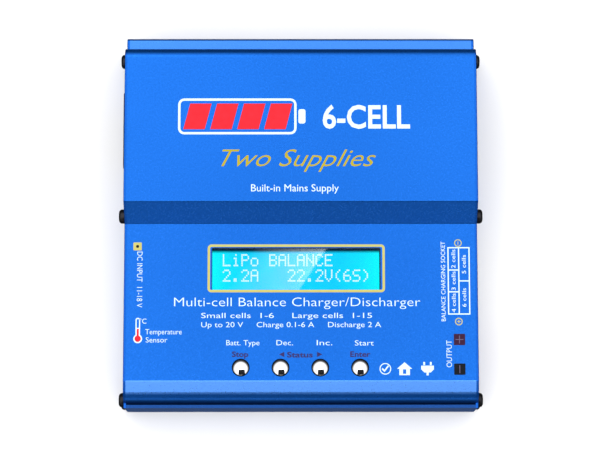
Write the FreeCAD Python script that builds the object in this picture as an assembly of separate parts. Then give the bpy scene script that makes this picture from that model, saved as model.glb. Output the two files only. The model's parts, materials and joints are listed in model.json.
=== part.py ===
"""Balance battery charger with a built-in mains supply: a stepped blue aluminium case with a
two-line display, four push buttons, five balance sockets, two output jacks, a low-voltage
input jack, a temperature socket, a mains inlet and an internal cooling fan.

Frame: millimetres, +Z up, +Y to the rear, +X to the right-hand side as seen from the front.
The origin is on the table, below the middle of the case.
Each sub-part is written to parts/NODE.step.
"""

import FreeCAD, Part  # noqa: E401  FreeCAD has to come first
import math
import os

V = FreeCAD.Vector

# ---------------------------------------------------------------- driving dimensions
CASE_WIDTH = 135.0           # X, over the two side plates
CASE_DEPTH = 144.0           # Y, front wall to the rear ledge
REAR_HEIGHT = 36.0           # Z of the raised rear deck, above the table
STEP_DROP = 7.5              # how much lower the front deck is
RIM_HEIGHT = 24.5            # Z of the tray's rim and rear ledge
FOOT_HEIGHT = 1.5
SHEET = 1.2                  # wall of the tray and the cover
PLATE = 1.0                  # side plates
SHELL_GAP = 0.05             # cover wall inside the tray wall
GAP = 0.1                    # general assembly clearance
HOLE_CLEARANCE = 0.1         # radial, round a screw or a round nose

# cover profile
LEDGE_DEPTH = 6.2            # how far the tray's ledge stands out behind the cover
STEP_FOOT_Y = -1.8           # where the slope meets the front deck
BROW_START = 10.1            # crease of the sloping brow, from the front wall
BROW_SLOPE = 12.0            # degrees
FRONT_ROUND = 5.8
BROW_ROUND = 3.0
STEP_TOP_ROUND = 1.0
STEP_FOOT_ROUND = 0.8
REAR_ROUND = 4.0
COVER_LAP = 4.2              # how far the cover's walls go down inside the tray

# screws of the side plates: ISO pan head, 3 mm
SCREW_R = 1.45
HEAD_R = 2.75
HEAD_HEIGHT = 2.2
SCREW_LENGTH = 9.0
BOSS_R = 2.6
BOSS_BITE = 0.3              # how far a boss sinks into the wall that carries it
FRONT_SCREW_Z = 17.5
REAR_SCREW_Z = 23.0
STEP_SCREW_Y = 1.3

# display, two lines of sixteen characters
DISPLAY_X, DISPLAY_Y = -1.8, -19.1
WINDOW_W, WINDOW_D = 64.6, 16.3
LENS = 0.8
LENS_MARGIN = 2.6
BEZEL_W, BEZEL_D, BEZEL_SHEET = 71.2, 24.2, 0.4
GLASS = 1.7
BACKLIGHT = 3.3
LCD_BOARD_W, LCD_BOARD_D = 80.0, 35.0
LCD_PINS = 16

# push buttons
BUTTON_NAMES = ("stop", "decrease", "increase", "start")
BUTTON_PITCH = 15.1
BUTTONS_MIDDLE = -0.2
BUTTON_Y = -57.0
BUTTON_R = 2.95
BUTTON_CLEARANCE = 0.45      # radial, cap to cover
BUTTON_DOME = 1.4            # height of the dome above the cover
DOME_CROWN = 0.38            # rise of the dome, as a share of the cap's radius
BUTTON_TRAVEL = 0.3
BUTTON_FLANGE = 0.9
SWITCH_SIDE = 6.0
SWITCH_HEIGHT = 3.6
PLUNGER_R = 1.75

# boards
BOARD = 1.6
MAIN_BOARD_X = (-62.0, 46.0)
MAIN_BOARD_Y = (-64.6, -3.6)
MAIN_BOARD_Z = 12.4          # underside
SUPPLY_BOARD_X = (-46.0, 54.0)
SUPPLY_BOARD_Y = (6.0, 61.0)
SUPPLY_BOARD_Z = 7.0
STANDOFF_R = 2.6

# balance sockets, 2.5 mm pitch headers
PIN_PITCH = 2.5
PIN_SIDE = 0.64
SOCKET_END = 4.9             # housing length beyond its row of pins
SOCKET_HEIGHT = 5.75
SOCKET_DEPTH = 7.0
SOCKET_WALL = 0.8
SOCKET_FLOOR = 1.4
SOCKET_PROUD = 0.2           # how far a mouth stands out of the side plate
SOCKET_GAP = 0.35
BALANCE_Y = -21.4            # middle of the block of sockets
BALANCE_ROWS_Z = (17.9, 11.1)
BALANCE_ROWS = ((2, 3, 4), (5, 6))

# output jacks for 4 mm plugs
JACK_Y = {"positive": -47.2, "negative": -58.7}
JACK_Z = 15.5
JACK_BORE_R = 2.05
JACK_BORE_LENGTH = 17.0
JACK_SLEEVE_R = 2.7
JACK_BODY_R = 3.7
JACK_FLANGE_R = 4.6
JACK_FLANGE = 0.6
JACK_MOUTH_R = 2.4

# low-voltage input jack and temperature socket
DC_Y, DC_Z = -21.0, 20.0
DC_BORE_R, DC_PIN_R, DC_NOSE_R = 3.0, 1.0, 4.1
DC_BODY = (14.0, 9.4, 11.0)
DC_BORE_DEPTH = 9.5
TEMPERATURE_Y = -43.0

# mains inlet
INLET_Y, INLET_Z = 35.0, 16.5
INLET_BODY = (27.0, 19.4)
INLET_FLANGE = (30.4, 22.8)
INLET_FLANGE_THICKNESS = 0.9
INLET_CAVITY = (24.4, 16.6)
INLET_CAVITY_DEPTH = 15.6
INLET_LENGTH = 18.0
INLET_CORNER = 4.2
BLADE = (4.0, 2.0)
BLADE_PITCH = 7.0
BLADE_OFFSET = 4.0
BLADE_RECESS = 4.8
TAB_LENGTH = 5.0

# fan, 30 mm
FAN_Y, FAN_Z = 35.0, 18.9
FAN_SIDE, FAN_THICKNESS = 30.0, 10.0
FAN_BORE_R = 14.2
FAN_BLADE_R = 13.6
FAN_HUB_R = 8.0
FAN_SHAFT_R = 1.0
FAN_BLADES = 7
FAN_HOLE_PITCH = 24.0
FAN_SCREW_R = 1.2
FAN_SCREW_LENGTH = 7.0

# ---------------------------------------------------------------- derived places
FRONT, REAR = -CASE_DEPTH / 2, CASE_DEPTH / 2
FRONT_DECK = REAR_HEIGHT - STEP_DROP
BASE = FOOT_HEIGHT
FLOOR = BASE + SHEET
SHELL_X = CASE_WIDTH / 2 - PLATE
OUTER_X = CASE_WIDTH / 2
BUTTON_HOLE_R = BUTTON_R + BUTTON_CLEARANCE
COVER_FRONT = FRONT + SHEET + SHELL_GAP
COVER_REAR = REAR - LEDGE_DEPTH
COVER_HEM = RIM_HEIGHT - COVER_LAP
STEP_TOP_Y = STEP_FOOT_Y + STEP_DROP
BROW_Y = FRONT + BROW_START
BROW_FOOT_Z = FRONT_DECK - (BROW_Y - COVER_FRONT) * math.tan(math.radians(BROW_SLOPE))
DECK_UNDERSIDE = FRONT_DECK - SHEET
MAIN_TOP = MAIN_BOARD_Z + BOARD
SUPPLY_TOP = SUPPLY_BOARD_Z + BOARD
BUTTON_X = [
    BUTTONS_MIDDLE + (i - (len(BUTTON_NAMES) - 1) / 2) * BUTTON_PITCH for i in range(len(BUTTON_NAMES))
]

BEZEL_TOP = DECK_UNDERSIDE - LENS - GAP
GLASS_Z = BEZEL_TOP - BEZEL_SHEET - GLASS
LCD_BOARD_Z = GLASS_Z - BACKLIGHT - BOARD

_slope_inset = (SHEET + BOSS_R - BOSS_BITE) * math.sqrt(2)
STEP_SCREW_Z = FRONT_DECK + (STEP_SCREW_Y - STEP_FOOT_Y) - _slope_inset
TRAY_BOSS_Y = REAR - SHEET - BOSS_R + BOSS_BITE
LOW_SCREW_Z = FLOOR + BOSS_R - BOSS_BITE
REAR_BOSS_Y = COVER_REAR - SHEET - BOSS_R + 3 * BOSS_BITE
TRAY_BOSSES = [(-TRAY_BOSS_Y, FRONT_SCREW_Z), (-TRAY_BOSS_Y, LOW_SCREW_Z), (TRAY_BOSS_Y, LOW_SCREW_Z)]
COVER_BOSSES = [(STEP_SCREW_Y, STEP_SCREW_Z), (REAR_BOSS_Y, REAR_SCREW_Z)]
SCREW_PLACES = TRAY_BOSSES + COVER_BOSSES

SOCKET_MOUTH_X = OUTER_X + SOCKET_PROUD
SOCKET_BASE_X = SOCKET_MOUTH_X - SOCKET_DEPTH
FAN_X = SHELL_X - GAP        # the fan's outer face, against the side plate
INLET_FACE_X = -OUTER_X - INLET_FLANGE_THICKNESS


# ---------------------------------------------------------------- shape helpers
def box(x, y, z):
    """A box from three (low, high) pairs."""
    return Part.makeBox(x[1] - x[0], y[1] - y[0], z[1] - z[0], V(x[0], y[0], z[0]))


def around(middle, length):
    """The (low, high) pair of a length about its middle."""
    return (middle - length / 2, middle + length / 2)


def rod_x(r, x, y, z):
    return Part.makeCylinder(r, x[1] - x[0], V(x[0], y, z), V(1, 0, 0))


def rod_y(r, x, y, z):
    return Part.makeCylinder(r, y[1] - y[0], V(x, y[0], z), V(0, 1, 0))


def rod_z(r, x, y, z):
    return Part.makeCylinder(r, z[1] - z[0], V(x, y, z[0]), V(0, 0, 1))


def rounded_edges(corners, closed=True):
    """Lines and arcs through 3-D corners, each (point, radius)."""
    count = len(corners)
    starts, ends, arcs = [], [], []
    for i, (p, r) in enumerate(corners):
        at_end = not closed and i in (0, count - 1)
        if r <= 0 or at_end:
            starts.append(p)
            ends.append(p)
            arcs.append(None)
            continue
        a = (corners[i - 1][0] - p).normalize()
        b = (corners[(i + 1) % count][0] - p).normalize()
        half = a.getAngle(b) / 2
        reach = r / math.tan(half)
        middle = p + (a + b).normalize() * (r / math.sin(half) - r)
        starts.append(p + a * reach)
        ends.append(p + b * reach)
        arcs.append(middle)
    edges = []
    for i in range(count):
        if arcs[i] is not None:
            edges.append(Part.Arc(starts[i], arcs[i], ends[i]).toShape())
        if i == count - 1 and not closed:
            break
        nxt = starts[(i + 1) % count]
        if (nxt - ends[i]).Length > 1e-6:
            edges.append(Part.LineSegment(ends[i], nxt).toShape())
    return edges


def prism_x(points, x):
    """A closed (y, z, radius) outline, extruded along X."""
    corners = [(V(x[0], y, z), r) for y, z, r in points]
    return Part.Face(Part.Wire(rounded_edges(corners))).extrude(V(x[1] - x[0], 0, 0))


def prism_z(points, z):
    """A closed (x, y, radius) outline, extruded along Z."""
    corners = [(V(px, py, z[0]), r) for px, py, r in points]
    return Part.Face(Part.Wire(rounded_edges(corners))).extrude(V(0, 0, z[1] - z[0]))


def rectangle(a, b, r):
    """Corners of a rounded rectangle from two (low, high) pairs."""
    return [(a[0], b[0], r), (a[1], b[0], r), (a[1], b[1], r), (a[0], b[1], r)]


def inset(path, t):
    """An open (y, z, radius) path moved by t to its left, with each bend's radius to suit."""
    lines = []
    for (y0, z0, _), (y1, z1, _) in zip(path, path[1:]):
        length = math.hypot(y1 - y0, z1 - z0)
        ny, nz = -(z1 - z0) / length, (y1 - y0) / length
        lines.append((y0 + ny * t, z0 + nz * t, (y1 - y0) / length, (z1 - z0) / length))
    moved = [(lines[0][0], lines[0][1], 0)]
    for (ay, az, au, av), (by, bz, bu, bv), (_, _, r) in zip(lines, lines[1:], path[1:]):
        cross = au * bv - av * bu
        s = ((by - ay) * bv - (bz - az) * bu) / cross
        turn = -1 if cross > 0 else 1
        moved.append((ay + au * s, az + av * s, max(0.0, r + turn * t) if r else 0))
    last_y, last_z, _ = path[-1]
    u = lines[-1]
    length = math.hypot(last_y - path[-2][0], last_z - path[-2][1])
    start_y = path[-2][0] + (u[0] - path[-2][0])
    start_z = path[-2][1] + (u[1] - path[-2][1])
    moved.append((start_y + u[2] * length, start_z + u[3] * length, 0))
    return moved


def strip(path, t):
    """The closed outline of a sheet of thickness t along an open path."""
    return path + inset(path, t)[::-1]


def fuse(first, *others):
    return first.multiFuse(list(others)).removeSplitter() if others else first


def cut(shape, *tools):
    return shape.cut(Part.makeCompound(list(tools)))


def lead(points, r, bend):
    """An insulated wire along a route with round bends."""
    corners = [(V(*p), bend) for p in points]
    spine = Part.Wire(rounded_edges(corners, closed=False))
    along = V(*points[1]) - V(*points[0])
    ring = Part.Wire(Part.makeCircle(r, V(*points[0]), along))
    return spine.makePipeShell([ring], True, False)


def toroid(x, y, z, inner, outer, height):
    """A ring that lies flat, standing on z."""
    ring = rod_z(outer, x, y, (z, z + height)).cut(rod_z(inner, x, y, (z, z + height)))
    return ring.makeFillet(0.6, ring.Edges)


# ---------------------------------------------------------------- case
def tray_path():
    """Outer line of the tray, rear ledge to front rim, with its inside to the left."""
    return [
        (COVER_REAR + SHELL_GAP, RIM_HEIGHT, 0), (REAR, RIM_HEIGHT, 1.4), (REAR, BASE, 2.0),
        (FRONT, BASE, 2.0), (FRONT, RIM_HEIGHT, 0),
    ][::-1]


def cover_path():
    """Outer line of the cover, rear hem to front hem, with its inside to the left."""
    return [
        (COVER_REAR, COVER_HEM, 0), (COVER_REAR, REAR_HEIGHT, REAR_ROUND),
        (STEP_TOP_Y, REAR_HEIGHT, STEP_TOP_ROUND), (STEP_FOOT_Y, FRONT_DECK, STEP_FOOT_ROUND),
        (BROW_Y, FRONT_DECK, BROW_ROUND), (COVER_FRONT, BROW_FOOT_Z, FRONT_ROUND),
        (COVER_FRONT, COVER_HEM, 0),
    ]


def bosses(places):
    return [rod_x(BOSS_R, (-SHELL_X, SHELL_X), y, z) for y, z in places]


def boss_holes(places):
    return [rod_x(SCREW_R + SHELL_GAP, (-SHELL_X, SHELL_X), y, z) for y, z in places]


def floor_holes():
    """Clearance holes in the tray floor for the two clamp screws."""
    return [rod_z(CLAMP_SCREW_R + HOLE_CLEARANCE, x, CLAMP_Y, (BASE, FLOOR)) for x in CLAMP_SCREWS_X]


def vent_slots():
    """Cooling slots through the tray floor, under the supply board."""
    slots = []
    for i in range(9):
        x = around(-24.0 + 6.0 * i, 2.2)
        slots.append(prism_z(rectangle(x, (20.0, 46.0), 1.09), (BASE, FLOOR)))
    return slots


def bottom_shell():
    wall = prism_x(strip(tray_path(), SHEET), (-SHELL_X, SHELL_X))
    shell = fuse(wall, *bosses(TRAY_BOSSES))
    return cut(shell, *boss_holes(TRAY_BOSSES), *floor_holes(), *vent_slots())


def top_cover():
    wall = prism_x(strip(cover_path(), SHEET), (-SHELL_X, SHELL_X))
    shell = fuse(wall, *bosses(COVER_BOSSES))
    through = (DECK_UNDERSIDE - 1, FRONT_DECK + 1)
    window = prism_z(
        rectangle(around(DISPLAY_X, WINDOW_W), around(DISPLAY_Y, WINDOW_D), 0.8), through
    )
    holes = [rod_z(BUTTON_HOLE_R, x, BUTTON_Y, through) for x in BUTTON_X]
    return cut(shell, *boss_holes(COVER_BOSSES), window, *holes)


def blank_plate(side):
    """A side plate before its cut-outs, with a small bevel round its outer face."""
    x = (SHELL_X, OUTER_X) if side > 0 else (-OUTER_X, -SHELL_X)
    tray = prism_x([(y, z, r) for y, z, r in tray_path()], x)
    cover = prism_x(cover_path(), x)
    plate = fuse(tray, cover)
    outer = side * OUTER_X
    rim = [e for e in plate.Edges if all(abs(v.X - outer) < 1e-6 for v in e.Vertexes)]
    plate = plate.makeChamfer(0.2, rim)
    holes = [rod_x(SCREW_R + HOLE_CLEARANCE, x, y, z) for y, z in SCREW_PLACES]
    return cut(plate, *holes), x


def left_side_plate():
    plate, x = blank_plate(-1)
    inlet = prism_x(
        rectangle(around(INLET_Y, INLET_BODY[0] + 2 * GAP), around(INLET_Z, INLET_BODY[1] + 2 * GAP), 1.0), x
    )
    nose = rod_x(DC_NOSE_R + HOLE_CLEARANCE, x, DC_Y, DC_Z)
    socket = box(
        x,
        around(TEMPERATURE_Y, socket_length(3) + 2 * GAP),
        around(MAIN_TOP + SOCKET_HEIGHT / 2, SOCKET_HEIGHT + 2 * GAP),
    )
    slots = [
        prism_x(rectangle(around(-2.0 + 3.6 * i, 1.7), (9.0, 23.0), 0.84), x) for i in range(5)
    ]
    return cut(plate, inlet, nose, socket, *slots)


def grille(x):
    """Ring slots over the fan, each ring parted by four spokes."""
    slots = []
    for inner in (4.4, 7.6, 10.8):
        ring = rod_x(inner + 2.0, x, FAN_Y, FAN_Z).cut(rod_x(inner, x, FAN_Y, FAN_Z))
        reach = 2 * FAN_SIDE
        spokes = [
            box(x, around(FAN_Y, reach), around(FAN_Z, 1.8)),
            box(x, around(FAN_Y, 1.8), around(FAN_Z, reach)),
        ]
        slots.append(ring.cut(Part.makeCompound(spokes)))
    return slots


def right_side_plate():
    plate, x = blank_plate(1)
    length = max(row_length(cells) for cells in BALANCE_ROWS)
    low, high = min(BALANCE_ROWS_Z), max(BALANCE_ROWS_Z)
    block = box(
        x,
        around(BALANCE_Y, length + 2 * GAP),
        (low - SOCKET_HEIGHT / 2 - GAP, high + SOCKET_HEIGHT / 2 + GAP),
    )
    jacks = [rod_x(JACK_BODY_R + HOLE_CLEARANCE, x, y, JACK_Z) for y in JACK_Y.values()]
    fan_holes = [countersink(FAN_SCREW_R + HOLE_CLEARANCE, y, z) for y, z in fan_corners()]
    return cut(plate, block, *jacks, *fan_holes, *grille(x))


def pan_head(r, height, recess):
    """A pan head that stands on Z = 0, with a cross recess."""
    head = Part.makeCylinder(r, height)
    head = head.makeFillet(height * 0.55, [e for e in head.Edges if abs(e.BoundBox.ZMin - height) < 1e-6])
    arm = recess / 4
    slots = [
        Part.makeBox(recess, arm, height, V(-recess / 2, -arm / 2, height * 0.45)),
        Part.makeBox(arm, recess, height, V(-arm / 2, -recess / 2, height * 0.45)),
    ]
    return head.cut(Part.makeCompound(slots))


def screw(head_r, head_height, shank_r, length, place, axis):
    """A pan-head screw whose head stands on place and points along axis."""
    shank = Part.makeCylinder(shank_r, length, V(0, 0, -length))
    body = fuse(pan_head(head_r, head_height, head_r * 1.15), shank)
    turn = FreeCAD.Rotation(V(0, 0, 1), V(*axis))
    body.Placement = FreeCAD.Placement(V(*place), turn)
    return body


def side_screws():
    return [
        screw(HEAD_R, HEAD_HEIGHT, SCREW_R, SCREW_LENGTH, (side * OUTER_X, y, z), (side, 0, 0))
        for side in (-1, 1)
        for y, z in SCREW_PLACES
    ]


def rubber_feet():
    feet = []
    for x in (-55.0, 55.0):
        for y in (-58.0, 58.0):
            foot = rod_z(5.0, x, y, (0, FOOT_HEIGHT))
            feet.append(foot.makeChamfer(0.4, [e for e in foot.Edges if e.BoundBox.ZMax < 1e-6]))
    return feet


# ---------------------------------------------------------------- display
def display_window():
    x = around(DISPLAY_X, WINDOW_W + 2 * LENS_MARGIN)
    y = around(DISPLAY_Y, WINDOW_D + 2 * LENS_MARGIN)
    return prism_z(rectangle(x, y, 1.0), (DECK_UNDERSIDE - LENS, DECK_UNDERSIDE))


def lcd_bezel():
    """Folded steel frame that holds the glass down on the display board."""
    x, y = around(DISPLAY_X, BEZEL_W), around(DISPLAY_Y, BEZEL_D)
    foot = LCD_BOARD_Z + BOARD
    frame = prism_z(rectangle(x, y, 0.8), (foot, BEZEL_TOP))
    hollow = box(
        around(DISPLAY_X, BEZEL_W - 2 * BEZEL_SHEET),
        around(DISPLAY_Y, BEZEL_D - 2 * BEZEL_SHEET),
        (foot, BEZEL_TOP - BEZEL_SHEET),
    )
    view = prism_z(
        rectangle(around(DISPLAY_X, WINDOW_W - 0.4), around(DISPLAY_Y, WINDOW_D - 0.4), 0.5),
        (foot, BEZEL_TOP),
    )
    return cut(frame, hollow, view)


def lcd_layer(z):
    """A slab that fills the bezel, such as the glass or the light guide."""
    width = BEZEL_W - 2 * BEZEL_SHEET - 2 * GAP
    depth = BEZEL_D - 2 * BEZEL_SHEET - 2 * GAP
    return box(around(DISPLAY_X, width), around(DISPLAY_Y, depth), z)


def lcd_pin_places():
    start = DISPLAY_X - LCD_BOARD_W / 2 + 8.0
    y = DISPLAY_Y + LCD_BOARD_D / 2 - 2.0
    return [(start + 2.54 * i, y) for i in range(LCD_PINS)]


def lcd_corners():
    return [
        (DISPLAY_X + sx * (LCD_BOARD_W / 2 - 2.6), DISPLAY_Y + sy * (LCD_BOARD_D / 2 - 2.6))
        for sx in (-1, 1)
        for sy in (-1, 1)
    ]


def lcd_board():
    board = box(
        around(DISPLAY_X, LCD_BOARD_W), around(DISPLAY_Y, LCD_BOARD_D), (LCD_BOARD_Z, LCD_BOARD_Z + BOARD)
    )
    holes = [rod_z(1.3, x, y, (LCD_BOARD_Z, LCD_BOARD_Z + BOARD)) for x, y in lcd_corners()]
    pins = [square_pin_z(x, y, (LCD_BOARD_Z, LCD_BOARD_Z + BOARD)) for x, y in lcd_pin_places()]
    return cut(board, *holes, *pins)


def square_pin_z(x, y, z):
    return box(around(x, PIN_SIDE), around(y, PIN_SIDE), z)


def lcd_header():
    """Pins between the display board and the main board, in a plastic strip."""
    pins = [square_pin_z(x, y, (MAIN_TOP, LCD_BOARD_Z + BOARD + 0.8)) for x, y in lcd_pin_places()]
    x0, y = lcd_pin_places()[0]
    x1, _ = lcd_pin_places()[-1]
    body = box((x0 - 1.27, x1 + 1.27), around(y, 2.5), (MAIN_TOP, MAIN_TOP + 2.5))
    return cut(body, *pins), pins


# ---------------------------------------------------------------- buttons
def button_cap(x):
    """Chromed cap: a domed pin with a flange that stops it below the cover."""
    crown = BUTTON_R * DOME_CROWN
    shoulder = FRONT_DECK + BUTTON_DOME - crown
    foot = switch_top() + 2.4
    shaft = rod_z(BUTTON_R, x, BUTTON_Y, (foot, FRONT_DECK + BUTTON_DOME))
    ball_r = (BUTTON_R**2 + crown**2) / (2 * crown)
    ball = Part.makeSphere(ball_r, V(x, BUTTON_Y, FRONT_DECK + BUTTON_DOME - ball_r))
    keep = fuse(ball, rod_z(BUTTON_R + 1, x, BUTTON_Y, (foot, shoulder)))
    dome = shaft.common(keep)
    low = DECK_UNDERSIDE - GAP - BUTTON_FLANGE
    flange = rod_z(BUTTON_HOLE_R + 0.6, x, BUTTON_Y, (low, low + BUTTON_FLANGE))
    return fuse(dome, flange)


def switch_top():
    return MAIN_TOP + SWITCH_HEIGHT


def plunger(x):
    """The switch's own stem, under the cap."""
    return rod_z(PLUNGER_R, x, BUTTON_Y, (switch_top() - 1.2, switch_top() + 2.4))


def switch_housing(x):
    body = box(
        around(x, SWITCH_SIDE), around(BUTTON_Y, SWITCH_SIDE), (MAIN_TOP, switch_top())
    )
    body = body.makeChamfer(0.4, [e for e in body.Edges if abs(e.BoundBox.ZLength - SWITCH_HEIGHT) < 1e-6])
    well = rod_z(PLUNGER_R + HOLE_CLEARANCE, x, BUTTON_Y, (switch_top() - 1.2 - 2 * BUTTON_TRAVEL, switch_top()))
    return body.cut(well)


# ---------------------------------------------------------------- boards and their parts
def standoff_places():
    x0, x1 = MAIN_BOARD_X
    y0, y1 = MAIN_BOARD_Y
    return [(x, y) for x in (x0 + 4, x1 - 4) for y in (y0 + 2.7, y1 - 2.7)]


def supply_standoff_places():
    x0, x1 = SUPPLY_BOARD_X
    y0, y1 = SUPPLY_BOARD_Y
    return [(x, y) for x in (x0 + 3.4, x1 - 3.4) for y in (y0 + 3.4, y1 - 3.4)]


BOARD_SCREW_R = 1.2
BOARD_SCREW_LENGTH = 5.0


def main_board():
    z = (MAIN_BOARD_Z, MAIN_TOP)
    board = box(MAIN_BOARD_X, MAIN_BOARD_Y, z)
    holes = [rod_z(BOARD_SCREW_R + HOLE_CLEARANCE, x, y, z) for x, y in standoff_places()]
    return cut(board, *holes)


def supply_board():
    z = (SUPPLY_BOARD_Z, SUPPLY_TOP)
    board = box(SUPPLY_BOARD_X, SUPPLY_BOARD_Y, z)
    holes = [rod_z(BOARD_SCREW_R + HOLE_CLEARANCE, x, y, z) for x, y in supply_standoff_places()]
    return cut(board, *holes)


def insulation_sheet():
    """Thin polyester sheet between the supply board and the tray."""
    z = (FLOOR, FLOOR + 0.4)
    x0, x1 = SUPPLY_BOARD_X
    y0, y1 = SUPPLY_BOARD_Y
    sheet = box((x0, x1), (y0, y1), z)
    holes = [rod_z(STANDOFF_R + GAP, x, y, z) for x, y in supply_standoff_places()]
    return cut(sheet, *holes)


def standoffs():
    """Posts under both boards, and short posts under the display board."""
    posts = []
    for places, z in (
        (standoff_places(), (FLOOR, MAIN_BOARD_Z)),
        (supply_standoff_places(), (FLOOR, SUPPLY_BOARD_Z)),
    ):
        for x, y in places:
            post = rod_z(STANDOFF_R, x, y, z)
            well = rod_z(BOARD_SCREW_R + SHELL_GAP, x, y, (z[1] - BOARD_SCREW_LENGTH + BOARD, z[1]))
            posts.append(post.cut(well) if z[1] - z[0] > BOARD_SCREW_LENGTH else post.cut(
                rod_z(BOARD_SCREW_R + SHELL_GAP, x, y, z)))
    for x, y in lcd_corners():
        post = rod_z(STANDOFF_R, x, y, (MAIN_TOP, LCD_BOARD_Z))
        posts.append(post.cut(rod_z(BOARD_SCREW_R + SHELL_GAP, x, y, (LCD_BOARD_Z - 3.0, LCD_BOARD_Z))))
    return posts


def board_screws():
    screws = []
    for places, z, length in (
        (standoff_places(), MAIN_TOP, BOARD_SCREW_LENGTH),
        (supply_standoff_places(), SUPPLY_TOP, BOARD_SCREW_LENGTH),
        (lcd_corners(), LCD_BOARD_Z + BOARD, 4.0),
    ):
        for x, y in places:
            screws.append(screw(2.2, 1.6, BOARD_SCREW_R, length, (x, y, z), (0, 0, 1)))
    return screws


def microcontroller():
    """Flat quad package with its rows of legs."""
    x, y, side, leg = -8.0, -45.0, 10.0, 1.0
    body = box(around(x, side), around(y, side), (MAIN_TOP + 0.15, MAIN_TOP + 1.4))
    legs = []
    for i in range(11):
        s = (i - 5) * 0.8
        legs.append(box(around(x + s, 0.35), around(y, side + 2 * leg), (MAIN_TOP, MAIN_TOP + 0.3)))
        legs.append(box(around(x, side + 2 * leg), around(y + s, 0.35), (MAIN_TOP, MAIN_TOP + 0.3)))
    body = fuse(body, *legs)
    hollow = box(around(x, side - 0.6), around(y, side - 0.6), (MAIN_TOP, MAIN_TOP + 0.15))
    return body.cut(hollow)


INDUCTORS = ((-40.0, -52.0, 4.6, 9.4, 7.6), (29.5, -46.0, 3.0, 6.4, 6.0))
WINDING = 0.9
WINDING_GAP = 0.15


def inductor_cores():
    return [
        toroid(x, y, MAIN_TOP + WINDING, inner, outer, height)
        for x, y, inner, outer, height in INDUCTORS
    ]


def winding(x, y, z, inner, outer, height):
    """Copper turns round a core that stands on z + WINDING, with a gap at one side."""
    low, high = z, z + height + 2 * WINDING
    band = rod_z(outer + WINDING, x, y, (low, high)).cut(rod_z(inner - WINDING, x, y, (low, high)))
    space = (low + WINDING - WINDING_GAP, high - WINDING + WINDING_GAP)
    core = rod_z(outer + WINDING_GAP, x, y, space).cut(rod_z(inner - WINDING_GAP, x, y, space))
    opening = box((x, x + 2 * outer), around(y, 2.4), (low, high))
    return cut(band, core, opening)


def inductor_windings():
    return [winding(x, y, MAIN_TOP, inner, outer, height) for x, y, inner, outer, height in INDUCTORS]


def can(x, y, z, r, height):
    """An upright electrolytic capacitor with its rolled neck."""
    body = rod_z(r, x, y, (z, z + height))
    body = body.makeFillet(min(0.6, r / 6), [e for e in body.Edges if abs(e.BoundBox.ZMin - z - height) < 1e-6])
    neck = rod_z(r + 1, x, y, (z + 1.4, z + 2.0)).cut(rod_z(r - 0.35, x, y, (z + 1.4, z + 2.0)))
    return body.cut(neck)


def charger_capacitors():
    return [
        can(-55.5, -53.2, MAIN_TOP, 4.0, 11.5),
        can(-56.5, -32.0, MAIN_TOP, 4.0, 11.5),
        can(5.0, -45.0, MAIN_TOP, 3.2, 11.0),
    ]


def buzzer():
    body = rod_z(4.8, 16.5, -44.5, (MAIN_TOP, MAIN_TOP + 6.5))
    return body.cut(rod_z(0.9, 16.5, -44.5, (MAIN_TOP + 4.5, MAIN_TOP + 6.5)))


CLAMP_Y = -20.0
CLAMP_BAR = (80.0, 8.0, 2.2)
CLAMP_SCREWS_X = (-46.0, 26.0)
CLAMP_SCREW_R = 1.45
TRANSISTORS_X = (-36.0, -22.0, -8.0, 6.0)
PAD = 0.3
PACKAGE = 4.4
TAB = 1.3


def thermal_pads():
    return [
        box(around(x, 12.0), (CLAMP_Y - 6.0, CLAMP_Y + 12.0), (FLOOR, FLOOR + PAD))
        for x in TRANSISTORS_X
    ]


def power_transistors():
    """Flat power packages that lie on the tray, each with a tab and three bent legs."""
    parts = []
    low = FLOOR + PAD
    for x in TRANSISTORS_X:
        body = box(around(x, 10.0), (CLAMP_Y - 4.5, CLAMP_Y + 4.5), (low, low + PACKAGE))
        tab = box(around(x, 10.0), (CLAMP_Y + 4.5, CLAMP_Y + 10.5), (low, low + TAB))
        legs = []
        for i in (-1, 0, 1):
            across = around(x + 2.54 * i, 0.8)
            legs.append(box(across, (CLAMP_Y - 8.5, CLAMP_Y - 4.5), around(low + 2.4, 0.5)))
            legs.append(box(across, (CLAMP_Y - 8.5, CLAMP_Y - 8.0), (low + 2.4, MAIN_BOARD_Z)))
        part = fuse(body, tab, *legs)
        parts.append(part.cut(rod_z(1.8, x, CLAMP_Y + 7.5, (low, low + TAB))))
    return parts


def clamp_bar():
    z = FLOOR + PAD + PACKAGE
    x = around(sum(CLAMP_SCREWS_X) / 2, CLAMP_BAR[0])
    bar = box(x, around(CLAMP_Y, CLAMP_BAR[1]), (z, z + CLAMP_BAR[2]))
    holes = [rod_z(CLAMP_SCREW_R + HOLE_CLEARANCE, x, CLAMP_Y, (z, z + CLAMP_BAR[2])) for x in CLAMP_SCREWS_X]
    legs = []
    for hole_x in CLAMP_SCREWS_X:
        leg = rod_z(3.2, hole_x, CLAMP_Y, (FLOOR, z))
        legs.append(leg)
    bar = fuse(bar, *legs)
    wells = [rod_z(CLAMP_SCREW_R + SHELL_GAP, hole_x, CLAMP_Y, (FLOOR, z)) for hole_x in CLAMP_SCREWS_X]
    return cut(bar, *holes, *wells)


def clamp_screws():
    """Countersunk screws up through the tray floor into the clamp bar."""
    screws = []
    for x in CLAMP_SCREWS_X:
        shank = rod_z(CLAMP_SCREW_R, x, CLAMP_Y, (BASE, FLOOR + 5.0))
        head = rod_z(2.6, x, CLAMP_Y, (BASE - 1.1, BASE))
        head = head.makeFillet(0.6, [e for e in head.Edges if abs(e.BoundBox.ZMax - BASE + 1.1) < 1e-6])
        arm = box(around(x, 3.0), around(CLAMP_Y, 0.7), (BASE - 1.1, BASE - 0.5))
        cross = box(around(x, 0.7), around(CLAMP_Y, 3.0), (BASE - 1.1, BASE - 0.5))
        screws.append(cut(fuse(shank, head), arm, cross))
    return screws


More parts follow.
